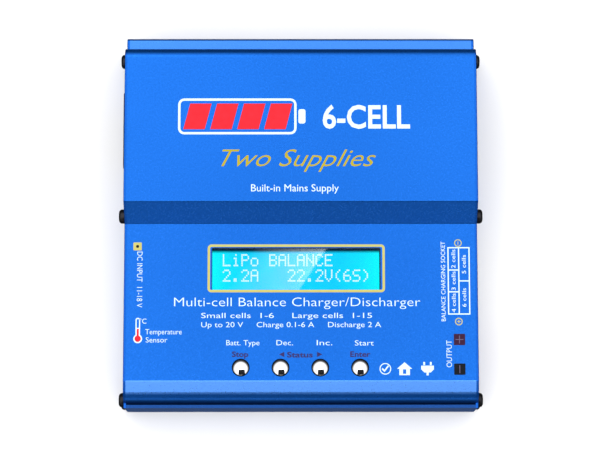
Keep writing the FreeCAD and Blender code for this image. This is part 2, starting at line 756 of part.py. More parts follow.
# ---------------------------------------------------------------- low-voltage sockets
def socket_length(pins):
    return PIN_PITCH * (pins - 1) + SOCKET_END


def row_length(cells):
    lengths = [socket_length(c + 1) for c in cells]
    return sum(lengths) + SOCKET_GAP * (len(cells) - 1)


def header_socket(pins):
    """A shrouded header with its mouth on +X: back face at X = 0, middle of the row at Y = Z = 0."""
    length = socket_length(pins)
    shell = box((0, SOCKET_DEPTH), around(0, length), around(0, SOCKET_HEIGHT))
    hollow = box(
        (SOCKET_FLOOR, SOCKET_DEPTH),
        around(0, length - 2 * SOCKET_WALL),
        around(0, SOCKET_HEIGHT - 2 * SOCKET_WALL),
    )
    key_offset = length / 2 - 2.4
    keys = [
        box((SOCKET_FLOOR + 1.6, SOCKET_DEPTH), around(s * key_offset, 1.2), (0, SOCKET_HEIGHT))
        for s in (-1, 1)
    ]
    posts = [header_pin(i, pins) for i in range(pins)]
    return cut(shell, hollow, *keys, *posts), posts


def header_pin(i, pins):
    y = (i - (pins - 1) / 2) * PIN_PITCH
    return box((-BOARD, SOCKET_FLOOR + 3.6), around(y, PIN_SIDE), around(0, PIN_SIDE))


def placed(shape, x, y, z, turned=False):
    """A copy moved to a place, turned about Z first so that it faces -X if asked."""
    turn = FreeCAD.Rotation(V(0, 0, 1), 180 if turned else 0)
    copy = shape.copy()
    copy.Placement = FreeCAD.Placement(V(x, y, z), turn)
    return copy


def balance_sockets():
    """The five housings by cell count, and all their pins."""
    housings, pins = {}, []
    for cells_in_row, z in zip(BALANCE_ROWS, BALANCE_ROWS_Z):
        y = BALANCE_Y + row_length(cells_in_row) / 2
        for cells in cells_in_row:
            length = socket_length(cells + 1)
            y -= length / 2
            housing, posts = header_socket(cells + 1)
            housings[cells] = placed(housing, SOCKET_BASE_X, y, z)
            pins += [placed(p, SOCKET_BASE_X, y, z) for p in posts]
            y -= length / 2 + SOCKET_GAP
    return housings, pins


def balance_board(pins):
    x = (SOCKET_BASE_X - BOARD, SOCKET_BASE_X)
    z = (min(BALANCE_ROWS_Z) - 4.4, max(BALANCE_ROWS_Z) + 4.4)
    board = box(x, around(BALANCE_Y, row_length(BALANCE_ROWS[0]) + 4.0), z)
    return cut(board, *pins)


def balance_cable():
    """Flat cable that joins the balance board to the main board."""
    x0 = MAIN_BOARD_X[1] - 6.0
    x1 = SOCKET_BASE_X - BOARD
    y = around(BALANCE_Y, 18.0)
    rise = MAIN_TOP + 3.2
    points = [(x0, MAIN_TOP, 0), (x0, rise, 1.5), (x1, rise, 0), (x1, rise + 0.7, 0), (x0 - 0.7, rise + 0.7, 2.2),
              (x0 - 0.7, MAIN_TOP, 0)]
    corners = [(V(px, y[0], pz), r) for px, pz, r in points]
    return Part.Face(Part.Wire(rounded_edges(corners))).extrude(V(0, y[1] - y[0], 0))


def temperature_socket():
    housing, posts = header_socket(3)
    z = MAIN_TOP + SOCKET_HEIGHT / 2
    housing = placed(housing, -SOCKET_BASE_X, TEMPERATURE_Y, z, turned=True)
    pins = []
    for i in range(3):
        y = TEMPERATURE_Y + (i - 1) * PIN_PITCH
        tip = -SOCKET_BASE_X - SOCKET_FLOOR - 3.6
        run = box((tip, -SOCKET_BASE_X + 3.0), around(y, PIN_SIDE), around(z, PIN_SIDE))
        drop = box((-SOCKET_BASE_X + 3.0 - PIN_SIDE, -SOCKET_BASE_X + 3.0), around(y, PIN_SIDE), (MAIN_TOP, z))
        pins.append(fuse(run, drop))
    return housing, pins


def output_jack(y):
    """Plastic body of an output jack: flange outside, threaded barrel inside."""
    flange = rod_x(JACK_FLANGE_R, (OUTER_X, OUTER_X + JACK_FLANGE), y, JACK_Z)
    rim = [e for e in flange.Edges if abs(e.BoundBox.XMin - OUTER_X - JACK_FLANGE) < 1e-6]
    flange = flange.makeChamfer(JACK_FLANGE / 2, rim)
    barrel = rod_x(JACK_BODY_R, (OUTER_X - 13.0, OUTER_X), y, JACK_Z)
    mouth = rod_x(JACK_MOUTH_R, (OUTER_X - 0.6, OUTER_X + JACK_FLANGE), y, JACK_Z)
    seat = rod_x(JACK_SLEEVE_R, (OUTER_X - 13.0, OUTER_X - 0.6), y, JACK_Z)
    return cut(fuse(flange, barrel), mouth, seat)


def output_contact(y):
    """Brass sleeve in a jack, blind at its inner end, with a solder tail."""
    face = OUTER_X - 0.6
    sleeve = rod_x(JACK_SLEEVE_R, (face - JACK_BORE_LENGTH - 1.5, face), y, JACK_Z)
    bore = rod_x(JACK_BORE_R, (face - JACK_BORE_LENGTH, face), y, JACK_Z)
    tail = box((JACK_TAIL_X, face - JACK_BORE_LENGTH - 1.5), around(y, 2.6), around(JACK_Z, 0.9))
    return fuse(sleeve.cut(bore), tail)


JACK_TAIL_X = 45.6


def output_nut(y):
    """Hexagonal nut that clamps a jack to the side plate."""
    flat = JACK_BODY_R + 1.2
    points = [
        (y + flat / math.cos(math.pi / 6) * math.cos(math.radians(60 * i + 30)),
         JACK_Z + flat / math.cos(math.pi / 6) * math.sin(math.radians(60 * i + 30)), 0)
        for i in range(6)
    ]
    x = (SHELL_X - 2.4, SHELL_X)
    return prism_x(points, x).cut(rod_x(JACK_BODY_R, x, y, JACK_Z))


def dc_input_jack():
    """Box on the main board with a round nose through the side plate."""
    length, width, height = DC_BODY
    inner = -SHELL_X + GAP
    body = box((inner, inner + length), around(DC_Y, width), (MAIN_TOP, MAIN_TOP + height))
    mouth = -OUTER_X - 0.3
    nose = rod_x(DC_NOSE_R, (mouth, inner + 2.0), DC_Y, DC_Z)
    bore = rod_x(DC_BORE_R, (mouth, mouth + DC_BORE_DEPTH), DC_Y, DC_Z)
    return cut(fuse(body, nose), bore, dc_jack_pin())


def dc_jack_pin():
    mouth = -OUTER_X - 0.3
    pin = rod_x(DC_PIN_R, (mouth + 1.2, mouth + DC_BORE_DEPTH + 2.0), DC_Y, DC_Z)
    tip = [e for e in pin.Edges if abs(e.BoundBox.XMax - mouth - 1.2) < 1e-6]
    return pin.makeChamfer(0.3, tip)


# ---------------------------------------------------------------- mains inlet
def inlet_outline(size, corner):
    """Rectangle with its two upper corners cut off, as the standard mains inlet has."""
    y, z = around(INLET_Y, size[0]), around(INLET_Z, size[1])
    return [
        (y[0], z[0], 1.0), (y[1], z[0], 1.0), (y[1], z[1] - corner, 0.6),
        (y[1] - corner, z[1], 0.6), (y[0] + corner, z[1], 0.6), (y[0], z[1] - corner, 0.6),
    ]


def ac_inlet():
    flange = prism_x(
        rectangle(around(INLET_Y, INLET_FLANGE[0]), around(INLET_Z, INLET_FLANGE[1]), 2.0),
        (INLET_FACE_X, -OUTER_X),
    )
    outer = [e for e in flange.Edges if abs(e.BoundBox.XMax - INLET_FACE_X) < 1e-6]
    flange = flange.makeChamfer(0.5, outer)
    body = prism_x(
        rectangle(around(INLET_Y, INLET_BODY[0]), around(INLET_Z, INLET_BODY[1]), 1.0),
        (-OUTER_X, -OUTER_X + INLET_LENGTH),
    )
    cavity = prism_x(
        inlet_outline(INLET_CAVITY, INLET_CORNER), (INLET_FACE_X, INLET_FACE_X + INLET_CAVITY_DEPTH)
    )
    return cut(fuse(flange, body), cavity, *inlet_blades())


def blade_places():
    return [
        (INLET_Y - BLADE_PITCH, INLET_Z - 1.0), (INLET_Y + BLADE_PITCH, INLET_Z - 1.0),
        (INLET_Y, INLET_Z - 1.0 + BLADE_OFFSET),
    ]


def inlet_blades():
    """Live, neutral and earth blades, each with a solder tab behind the inlet."""
    blades = []
    back = -OUTER_X + INLET_LENGTH
    for y, z in blade_places():
        blade = box((INLET_FACE_X + BLADE_RECESS, back), around(y, BLADE[1]), around(z, BLADE[0]))
        tab = box((back, back + TAB_LENGTH), around(y, 0.8), around(z, BLADE[0]))
        blades.append(fuse(blade, tab))
    return blades


# ---------------------------------------------------------------- supply board parts
TRANSFORMER_X, TRANSFORMER_Y = 13.0, 33.0
CORE = (24.0, 33.0, 21.0)
CORE_LIMB = 5.5
HEAT_SINKS = ((-6.5, (12.0, 40.0)), (31.5, (10.0, 38.0)))
SINK_THICKNESS = 2.4
SINK_HEIGHT = 20.0


def transformer_core():
    """Ferrite frame round the winding, with its middle limb through the bobbin."""
    width, depth, height = CORE
    z = (SUPPLY_TOP + 2.0, SUPPLY_TOP + 2.0 + height)
    x, y = around(TRANSFORMER_X, width * 0.5), around(TRANSFORMER_Y, depth)
    frame = box(x, y, z)
    hole = box(x, (y[0] + CORE_LIMB, y[1] - CORE_LIMB), (z[0] + CORE_LIMB * 0.6, z[1] - CORE_LIMB * 0.6))
    limb = rod_z(4.5, TRANSFORMER_X, TRANSFORMER_Y, z)
    return fuse(frame.cut(hole), limb)


def transformer_winding():
    """Taped winding on a bobbin that stands on the supply board."""
    width, depth, height = CORE
    z = (SUPPLY_TOP + 2.0 + CORE_LIMB * 0.6, SUPPLY_TOP + 2.0 + height - CORE_LIMB * 0.6)
    coil = prism_z(rectangle(around(TRANSFORMER_X, width), around(TRANSFORMER_Y, depth - 2 * CORE_LIMB - 0.4), 4.0), z)
    bore = rod_z(4.5 + GAP, TRANSFORMER_X, TRANSFORMER_Y, z)
    feet = [
        box(around(TRANSFORMER_X + s * (width / 2 - 2.0), 4.0), around(TRANSFORMER_Y, 16.0), (SUPPLY_TOP, z[0] + 2.0))
        for s in (-1, 1)
    ]
    return cut(fuse(coil, *feet), bore)


def heat_sinks():
    """Two upright aluminium plates with ribs."""
    sinks = []
    for x, y in HEAT_SINKS:
        z = (SUPPLY_TOP, SUPPLY_TOP + SINK_HEIGHT)
        plate = box(around(x, SINK_THICKNESS), y, z)
        ribs = [
            box((x + SINK_THICKNESS / 2, x + SINK_THICKNESS / 2 + 1.6), around(y[0] + 2.0 + 6.0 * i, 1.0), z)
            for i in range(5)
        ]
        sinks.append(fuse(plate, *ribs) if x > 0 else plate)
    return sinks


def supply_transistors():
    """Upright power packages, each flat against its heat sink."""
    parts = []
    for x, y in HEAT_SINKS:
        face = x - SINK_THICKNESS / 2
        middle = sum(y) / 2
        body = box((face - PACKAGE, face), around(middle, 10.0), (SUPPLY_TOP + 4.0, SUPPLY_TOP + 13.0))
        tab = box((face - TAB, face), around(middle, 10.0), (SUPPLY_TOP + 13.0, SUPPLY_TOP + 19.0))
        legs = [
            box(around(face - 2.4, 0.5), around(middle + 2.54 * i, 0.8), (SUPPLY_TOP, SUPPLY_TOP + 4.0))
            for i in (-1, 0, 1)
        ]
        parts.append(fuse(body, tab, *legs))
    return parts


def supply_capacitors():
    return [
        can(-20.0, 50.0, SUPPLY_TOP, 8.5, 22.0),
        can(43.0, 16.0, SUPPLY_TOP, 4.5, 18.0),
        can(43.0, 27.0, SUPPLY_TOP, 4.5, 18.0),
        can(43.0, 38.0, SUPPLY_TOP, 4.5, 18.0),
    ]


def filter_capacitor():
    """Boxed mains filter capacitor."""
    body = box((-38.0, -29.5), (44.0, 60.0), (SUPPLY_TOP, SUPPLY_TOP + 14.0))
    return body.makeFillet(0.8, [e for e in body.Edges if e.BoundBox.ZMax > SUPPLY_TOP + 13.9])


CHOKE = (-22.5, 29.0, SUPPLY_TOP, 3.6, 7.6, 7.0)


def filter_choke():
    """Ferrite ring of the mains filter with its winding."""
    x, y, z, inner, outer, height = CHOKE
    return [toroid(x, y, z + WINDING, inner, outer, height), winding(*CHOKE)]


FUSE_X, FUSE_Y, FUSE_LENGTH = -35.0, 19.0, 20.0
FUSE_R, FUSE_CAP_R, FUSE_LIFT = 2.3, 2.6, 3.6


def mains_fuse():
    """Glass fuse with its two end caps, in clips on the board."""
    z = SUPPLY_TOP + FUSE_LIFT
    tube = rod_y(FUSE_R, FUSE_X, around(FUSE_Y, FUSE_LENGTH - 2), z)
    caps, clips = [], []
    for side in (-1, 1):
        y = around(FUSE_Y + side * (FUSE_LENGTH / 2 - 2.5), 5.0)
        caps.append(rod_y(FUSE_CAP_R, FUSE_X, y, z))
        clips.append(box(around(FUSE_X, 2.0), (y[0] + 0.5, y[1] - 0.5), (SUPPLY_TOP, z - 1.6)))
    return fuse(tube, *caps, *clips)


MAINS_LEAD_R, POWER_LEAD_R, OUTPUT_LEAD_R, FAN_LEAD_R = 1.1, 1.1, 0.9, 0.6


def mains_leads():
    """From the inlet's tabs down to the supply board."""
    start = -OUTER_X + INLET_LENGTH + TAB_LENGTH
    drop = start + 4.0
    return [
        lead([(start, y, z), (drop, y, z), (drop, y, SUPPLY_TOP)], MAINS_LEAD_R, 2.4)
        for y, z in blade_places()
    ]


def power_leads():
    """From the supply board over the edge of the main board."""
    y0, y1 = SUPPLY_BOARD_Y[0] + 2.6, MAIN_BOARD_Y[1] - 7.2
    z = MAIN_TOP + 3.5
    return [
        lead([(x, y0, SUPPLY_TOP), (x, y0, z), (x, y1, z), (x, y1, MAIN_TOP)], POWER_LEAD_R, 2.2)
        for x in (MAIN_BOARD_X[1] - 6.4, MAIN_BOARD_X[1] - 4.0)
    ]


def output_leads():
    """From the tails of the output contacts to the main board."""
    return [
        lead([(JACK_TAIL_X, y, JACK_Z), (38.4, y, JACK_Z), (38.4, y, MAIN_TOP)], OUTPUT_LEAD_R, 1.3)
        for y in JACK_Y.values()
    ]


def fan_leads():
    """From the fan's frame up and over to the supply board."""
    leads = []
    start = FAN_Y - FAN_SIDE / 2
    for i in range(2):
        x = FAN_X - FAN_THICKNESS + 2.2 + 2.2 * i
        y = start - 5.2 - 1.6 * i
        z = SUPPLY_TOP + 3.4 + 1.6 * i
        end = SUPPLY_BOARD_X[1] - 1.6
        points = [(x, start, 7.0), (x, y, 7.0), (x, y, z), (end, y, z), (end, y, SUPPLY_TOP)]
        leads.append(lead(points, FAN_LEAD_R, 1.4))
    return leads


def internal_leads():
    return mains_leads() + power_leads() + output_leads() + fan_leads()


# ---------------------------------------------------------------- fan
def fan_corners():
    half = FAN_HOLE_PITCH / 2
    return [(FAN_Y + sy * half, FAN_Z + sz * half) for sy in (-1, 1) for sz in (-1, 1)]


FAN_BASE = 1.4


def fan_frame():
    """Square frame with a motor base on three struts at its inner face."""
    x = (FAN_X - FAN_THICKNESS, FAN_X)
    frame = prism_x(rectangle(around(FAN_Y, FAN_SIDE), around(FAN_Z, FAN_SIDE), 2.4), x)
    tunnel = rod_x(FAN_BORE_R, x, FAN_Y, FAN_Z)
    holes = [rod_x(FAN_SCREW_R + SHELL_GAP, x, y, z) for y, z in fan_corners()]
    frame = cut(frame, tunnel, *holes)
    base_x = (x[0], x[0] + FAN_BASE)
    base = rod_x(FAN_HUB_R, base_x, FAN_Y, FAN_Z)
    tube = rod_x(2.2, (x[0], x[1] - 3.4), FAN_Y, FAN_Z)
    struts = []
    for i in range(3):
        strut = box(base_x, around(FAN_Y, 2.0), (FAN_Z, FAN_Z + FAN_BORE_R + 0.4))
        strut.rotate(V(0, FAN_Y, FAN_Z), V(1, 0, 0), 120 * i)
        struts.append(strut)
    bearing = rod_x(FAN_SHAFT_R + 0.05, (x[0] + FAN_BASE * 0.5, x[1]), FAN_Y, FAN_Z)
    return cut(fuse(frame, base, tube, *struts), bearing)


def fan_rotor():
    """Cup-shaped hub on a shaft, with seven pitched blades."""
    x = (FAN_X - FAN_THICKNESS, FAN_X)
    low, high = x[0] + FAN_BASE + 0.5, x[1] - 0.6
    hub = rod_x(FAN_HUB_R - 0.2, (low, high), FAN_Y, FAN_Z)
    hollow = rod_x(FAN_HUB_R - 1.4, (low, high - 1.2), FAN_Y, FAN_Z)
    shaft = rod_x(FAN_SHAFT_R, (x[0] + FAN_BASE * 0.5 + 0.3, high), FAN_Y, FAN_Z)
    ring = rod_x(FAN_BLADE_R, (low, high), FAN_Y, FAN_Z).cut(rod_x(FAN_HUB_R - 0.8, (low, high), FAN_Y, FAN_Z))
    middle = (low + high) / 2
    blades = []
    for i in range(FAN_BLADES):
        blade = box((middle - 4.6, middle + 4.6), around(FAN_Y, 0.9), (FAN_Z, FAN_Z + FAN_BLADE_R + 1))
        blade.rotate(V(middle, FAN_Y, FAN_Z), V(0, 0, 1), 42)
        blade.rotate(V(middle, FAN_Y, FAN_Z), V(1, 0, 0), 360 / FAN_BLADES * i)
        blades.append(blade.common(ring))
    return fuse(hub.cut(hollow), shaft, *blades)


def countersink(r, y, z):
    """The cone of a countersunk head whose face is flush with the right-hand plate."""
    cone = Part.makeCone(r, r + PLATE, PLATE, V(SHELL_X, y, z), V(1, 0, 0))
    return cone


def fan_screws():
    """Countersunk screws, each with a cross recess, flush with the plate."""
    screws = []
    for y, z in fan_corners():
        head = countersink(FAN_SCREW_R, y, z)
        shank = rod_x(FAN_SCREW_R, (SHELL_X - GAP - FAN_SCREW_LENGTH, SHELL_X), y, z)
        x = (OUTER_X - 0.7, OUTER_X)
        arms = [box(x, around(y, 2.6), around(z, 0.6)), box(x, around(y, 0.6), around(z, 2.6))]
        screws.append(cut(fuse(head, shank), *arms))
    return screws


# ---------------------------------------------------------------- assembly
def build():
    housings, balance_pins = balance_sockets()
    header_strip, header_pins = lcd_header()
    temperature_housing, temperature_pins = temperature_socket()
    nodes = {
        "bottom_shell": bottom_shell(),
        "top_cover": top_cover(),
        "left_side_plate": left_side_plate(),
        "right_side_plate": right_side_plate(),
        "side_screws": side_screws(),
        "rubber_feet": rubber_feet(),
        "display_window": display_window(),
        "lcd_bezel": lcd_bezel(),
        "lcd_glass": lcd_layer((GLASS_Z, GLASS_Z + GLASS)),
        "lcd_backlight": lcd_layer((GLASS_Z - BACKLIGHT, GLASS_Z)),
        "lcd_board": lcd_board(),
        "lcd_header": [header_strip, *header_pins],
        "switch_housings": [switch_housing(x) for x in BUTTON_X],
        "main_board": main_board(),
        "board_standoffs": standoffs(),
        "board_screws": board_screws(),
        "microcontroller": microcontroller(),
        "inductors": inductor_cores() + inductor_windings(),
        "charger_capacitors": charger_capacitors(),
        "buzzer": buzzer(),
        "power_transistors": power_transistors(),
        "thermal_pads": thermal_pads(),
        "clamp_bar": clamp_bar(),
        "clamp_screws": clamp_screws(),
        "balance_board": balance_board(balance_pins),
        "balance_cable": balance_cable(),
        "socket_pins": balance_pins + temperature_pins,
        "temperature_socket": temperature_housing,
        "output_contacts": [output_contact(y) for y in JACK_Y.values()],
        "output_nuts": [output_nut(y) for y in JACK_Y.values()],
        "dc_input_jack": dc_input_jack(),
        "dc_jack_pin": dc_jack_pin(),
        "ac_inlet": ac_inlet(),
        "ac_inlet_blades": inlet_blades(),
        "supply_board": supply_board(),
        "insulation_sheet": insulation_sheet(),
        "transformer_core": transformer_core(),
        "transformer_winding": transformer_winding(),
        "heat_sinks": heat_sinks(),
        "supply_transistors": supply_transistors(),
        "supply_capacitors": supply_capacitors(),
        "filter_capacitor": filter_capacitor(),
        "filter_choke": filter_choke(),
        "mains_fuse": mains_fuse(),
        "internal_leads": internal_leads(),
        "fan_frame": fan_frame(),
        "fan_rotor": fan_rotor(),
        "fan_screws": fan_screws(),
    }
    for name, x in zip(BUTTON_NAMES, BUTTON_X):
        nodes[f"{name}_button"] = [button_cap(x), plunger(x)]
    for cells, housing in housings.items():
        nodes[f"balance_socket_{cells}_cell"] = housing
    for name, y in JACK_Y.items():
        nodes[f"{name}_output_jack"] = output_jack(y)
    return nodes


def solids_of(shape):
    """All solids of one shape or of a list of shapes."""
    shapes = shape if isinstance(shape, list) else [shape]
    return [solid for s in shapes for solid in s.Solids]


def export(nodes):
    os.makedirs("parts", exist_ok=True)
    for name, shape in sorted(nodes.items()):
        solids = solids_of(shape)
        for solid in solids:
            if not solid.isValid() or solid.Volume <= 0:
                raise ValueError(f"{name} has a bad solid")
        whole = solids[0] if len(solids) == 1 else Part.makeCompound(solids)
        whole.exportStep(f"parts/{name}.step")
        print(f"{name:24s} {len(solids):3d} solids {sum(s.Volume for s in solids) / 1000:8.2f} cm3")
    print(len(nodes), "nodes")


export(build())
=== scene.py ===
"""Looks of the balance battery charger: anodised case, printed legends, lit display, chromed
buttons, moulded sockets, and the studio that it stands in."""

import json
import math

import bpy
from mathutils import Matrix, Vector


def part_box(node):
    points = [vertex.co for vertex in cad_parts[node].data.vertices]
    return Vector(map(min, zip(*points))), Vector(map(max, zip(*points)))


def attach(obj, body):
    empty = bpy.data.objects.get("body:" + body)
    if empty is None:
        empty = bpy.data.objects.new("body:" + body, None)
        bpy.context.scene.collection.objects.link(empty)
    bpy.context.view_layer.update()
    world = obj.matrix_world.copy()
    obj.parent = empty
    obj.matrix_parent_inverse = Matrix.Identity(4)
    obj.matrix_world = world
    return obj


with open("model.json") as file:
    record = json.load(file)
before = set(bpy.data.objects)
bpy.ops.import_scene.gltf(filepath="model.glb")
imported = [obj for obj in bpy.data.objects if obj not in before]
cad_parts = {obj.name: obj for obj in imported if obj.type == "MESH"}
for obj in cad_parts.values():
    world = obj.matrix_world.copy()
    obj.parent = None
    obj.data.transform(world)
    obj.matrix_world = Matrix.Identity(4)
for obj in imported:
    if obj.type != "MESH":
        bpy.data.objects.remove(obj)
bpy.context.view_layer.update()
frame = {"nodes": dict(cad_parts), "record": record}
node = frame["nodes"]
mm = 0.001
FRONT_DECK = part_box("display_window")[1].z + 1.2 * mm
REAR_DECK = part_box("top_cover")[1].z
TRAY_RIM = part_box("bottom_shell")[1].z
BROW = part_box("bottom_shell")[0].y + 10.1 * mm


# ---------------------------------------------------------------- shader maths
class Sock:
    """A node's output. Each operation on it adds a Math node."""

    def __init__(self, graph, out):
        self.graph, self.out = graph, out

    def math(self, operation, *others):
        inputs = {str(i): value for i, value in enumerate((self, *others))}
        return self.graph.node("Math", 0, {"operation": operation}, **inputs)

    def held(self):
        """Held between 0 and 1."""
        return self.math("MAXIMUM", 0).math("MINIMUM", 1)

    def __add__(self, other):
        return self.math("ADD", other)

    def __sub__(self, other):
        return self.math("SUBTRACT", other)

    def __rsub__(self, other):
        return self.graph.node("Math", 0, {"operation": "SUBTRACT"}, **{"0": other, "1": self})

    def __mul__(self, other):
        return self.math("MULTIPLY", other)

    def __truediv__(self, other):
        return self.math("DIVIDE", other)

    def __gt__(self, other):
        return self.math("GREATER_THAN", other)

    def __lt__(self, other):
        return self.math("LESS_THAN", other)

    __radd__ = __add__
    __rmul__ = __mul__


def srgb(r, g, b):
    """A colour as seen, 0 to 255 a channel, as the linear values a shader takes."""
    def linear(v):
        v /= 255
        return v / 12.92 if v <= 0.04045 else ((v + 0.055) / 1.055) ** 2.4
    return (linear(r), linear(g), linear(b), 1.0)


class Graph:
    """A tree of shader nodes."""

    def __init__(self, tree):
        self.tree = tree

    def node(self, kind, output=0, settings=None, **inputs):
        """Adds a node: its settings first, then the values or links of its inputs."""
        made = self.tree.nodes.new("ShaderNode" + kind)
        for key, value in (settings or {}).items():
            if key == "stops":
                self.set_stops(made.color_ramp.elements, value)
            else:
                setattr(made, key, value)
        for key, value in inputs.items():
            slot = made.inputs[int(key)] if key.isdigit() else made.inputs[key.replace("_", " ")]
            self.fill(slot, value)
        return Sock(self, made.outputs[output])

    def set_stops(self, elements, stops):
        while len(elements) < len(stops):
            elements.new(0.5)
        for element, (place, colour) in zip(elements, stops):
            element.position, element.color = place, colour

    def fill(self, slot, value):
        if isinstance(value, Sock):
            self.tree.links.new(value.out, slot)
        else:
            slot.default_value = value


class Finish(Graph):
    """A material built up from one Principled shader, on the piece's own coordinates."""

    def __init__(self, name, **constants):
        self.material = bpy.data.materials.new(name)
        self.material.use_nodes = True
        super().__init__(self.material.node_tree)
        self.shader = self.tree.nodes["Principled BSDF"]
        for key, value in constants.items():
            self.shader.inputs[key.replace("_", " ")].default_value = value
        self.place = self.node("TexCoord", "Object")

    def noise(self, scale, detail=2.0, vector=None, roughness=0.5):
        place = vector or self.place
        return self.node("TexNoise", "Fac", Vector=place, Scale=scale, Detail=detail, Roughness=roughness)

    def stretched(self, x, y, z):
        return self.node("Mapping", Vector=self.place, Scale=(x, y, z))

    def axes(self):
        parts = self.node("SeparateXYZ", Vector=self.place).out.node.outputs
        return [Sock(self, part) for part in parts]

    def mix(self, factor, a, b):
        return self.node("Mix", 2, {"data_type": "RGBA"}, **{"0": factor, "6": a, "7": b})

    def feed(self, **sockets):
        for key, value in sockets.items():
            self.tree.links.new(value.out, self.shader.inputs[key.replace("_", " ")])
        return self

    def bump(self, height, strength, distance):
        return self.feed(Normal=self.node("Bump", Height=height, Strength=strength, Distance=distance))


# ---------------------------------------------------------------- finishes
# painted shade for the bend below the sloping brow
PAINTED_BEND_SHADE_BLUE = (0.004, 0.02, 0.07, 1)
# painted shade for the tray's front edge at the rim
PAINTED_RIM_SHADE_BLUE = (0.01, 0.02, 0.05, 1)
# painted highlight: the paler colour the sloping brow is painted, for the light it catches
PAINTED_BROW_HIGHLIGHT_BLUE = srgb(92, 156, 250)
# painted highlight for the tray's rear ledge
PAINTED_LEDGE_HIGHLIGHT_BLUE = srgb(78, 142, 232)
BROW_DROP = 1.25 * mm           # how far the brow falls from the deck to its bend
BROW_DEPTH = 4.4 * mm           # from the brow's rear line to its bend, along the deck
BEND_DROP = 2.1 * mm            # where the deep tone starts below the deck


def anodised(name, colour, deep, rim=None, brow=None):
    """Bead-blasted, blue anodised aluminium: fine sparkle, slow drift of tone, a few rub marks.
    At the height of rim, the front edge gets painted shade and the rear ledge a painted highlight.
    The sloping brow, in front of brow, gets a painted highlight, and the bend below it painted shade."""
    m = Finish(name, Metallic=0.86, Specular_Tint=(0.3, 0.6, 1, 1))
    grain = (m.noise(1500, 2, roughness=0.8) - 0.5) * 2.6 + 0.5
    drift = m.noise(22, 2)
    rubs = m.noise(90, 4, m.stretched(1, 6, 6), 0.7)
    tone = m.mix(drift * 0.4 + grain * 0.6, colour, deep)
    relief = grain
    _, y, z = m.axes()
    if brow:
        # painted highlight: the sloping brow in front of brow is painted paler
        pale = (y < brow) * ((z - (FRONT_DECK - BROW_DROP)) / (0.35 * mm)).held()
        tone = m.mix(pale, tone, PAINTED_BROW_HIGHLIGHT_BLUE)
        # painted shade: the bend below the brow is painted darker
        bend = (y < brow - BROW_DEPTH) * ((FRONT_DECK - BEND_DROP - z) / (1.2 * mm)).held()
        tone = m.mix(bend * 0.65, tone, PAINTED_BEND_SHADE_BLUE)
        relief = grain * (1 - (y < brow) * 0.85)
    if rim:
        edge = z > rim - 0.2 * mm
        # painted shade: the tray's front edge at the height of rim is painted darker
        tone = m.mix(edge * (y < 0) * 0.6, tone, PAINTED_RIM_SHADE_BLUE)
        # painted highlight: the tray's rear ledge at the height of rim is painted paler
        tone = m.mix(edge * (y > 0) * 0.5, tone, PAINTED_LEDGE_HIGHLIGHT_BLUE)
    m.feed(Base_Color=tone, Roughness=0.26 + grain * 0.10 + (rubs > 0.66) * 0.04)
    return m.bump(relief, 0.12, 0.00002).material


def moulded(name, colour, rough, grain=900, depth=0.15):
    """Moulded plastic or rubber with a spark-eroded grain."""
    m = Finish(name, Base_Color=colour)
    fine = m.noise(grain, 3)
    cloud = m.noise(60, 2)
    lighter = tuple(min(1.0, c * 1.35 + 0.006) for c in colour[:3]) + (1.0,)
    m.feed(Base_Color=m.mix(cloud * fine * 1.2, colour, lighter), Roughness=rough - 0.05 + fine * 0.12)
    return m.bump(fine, depth, 0.00005).material


def metal(name, colour, rough, streak=(1, 1, 1), depth=0.08):
    """Bare, plated or blackened metal with fine working marks."""
    m = Finish(name, Metallic=1.0)
    marks = m.noise(500, 4, m.stretched(*streak))
    stain = m.noise(70, 3)
    darker = tuple(c * 0.72 for c in colour[:3]) + (1.0,)
    m.feed(Base_Color=m.mix(stain * marks * 1.6, colour, darker), Roughness=rough - 0.06 + marks * 0.14)
    return m.bump(marks, depth, 0.00003).material


def printed(name, colour, deep):
    """Screen-printed ink: slightly uneven in tone."""
    m = Finish(name, Specular_IOR_Level=0.12)
    blot = m.noise(420, 3)
    m.feed(Base_Color=m.mix(blot, colour, deep), Roughness=0.42 + blot * 0.16)
    return m.material


def chromed_cap():
    """Polished chrome on the dome; the cap's skirt and flange below it are left black."""
    m = Finish("chromed_cap", Specular_IOR_Level=0.05)
    _, _, z = m.axes()
    plated = z > FRONT_DECK + 0.3 * mm
    haze = m.noise(300, 3)
    chrome = m.mix(haze, (0.95, 0.95, 0.96, 1), (0.86, 0.87, 0.89, 1))
    m.feed(Base_Color=m.mix(plated, (0.006, 0.006, 0.008, 1), chrome), Metallic=plated,
           Roughness=0.45 - plated * 0.42 + haze * 0.04)
    return m.material


def clear_sheet(name, film):
    """Clear acrylic or glass: it reflects more at a slant, plus a film of dust."""
    m = Finish(name, Metallic=1.0, Base_Color=(0.9, 0.93, 0.95, 1))
    dust = m.noise(700, 4)
    slant = m.node("LayerWeight", "Facing", Blend=0.5)
    m.feed(Roughness=0.012 + dust * 0.006, Alpha=0.04 + slant.math("POWER", 5) * 0.8 + dust * film)
    return m.material


PANEL_MIDDLE_X = -1.8 * mm
PANEL_HALF = 32.5 * mm
LIT_REAR = -11.5 * mm
LIT_RIGHT = 30.1 * mm
BLACK = (0.0, 0.0, 0.0, 1)


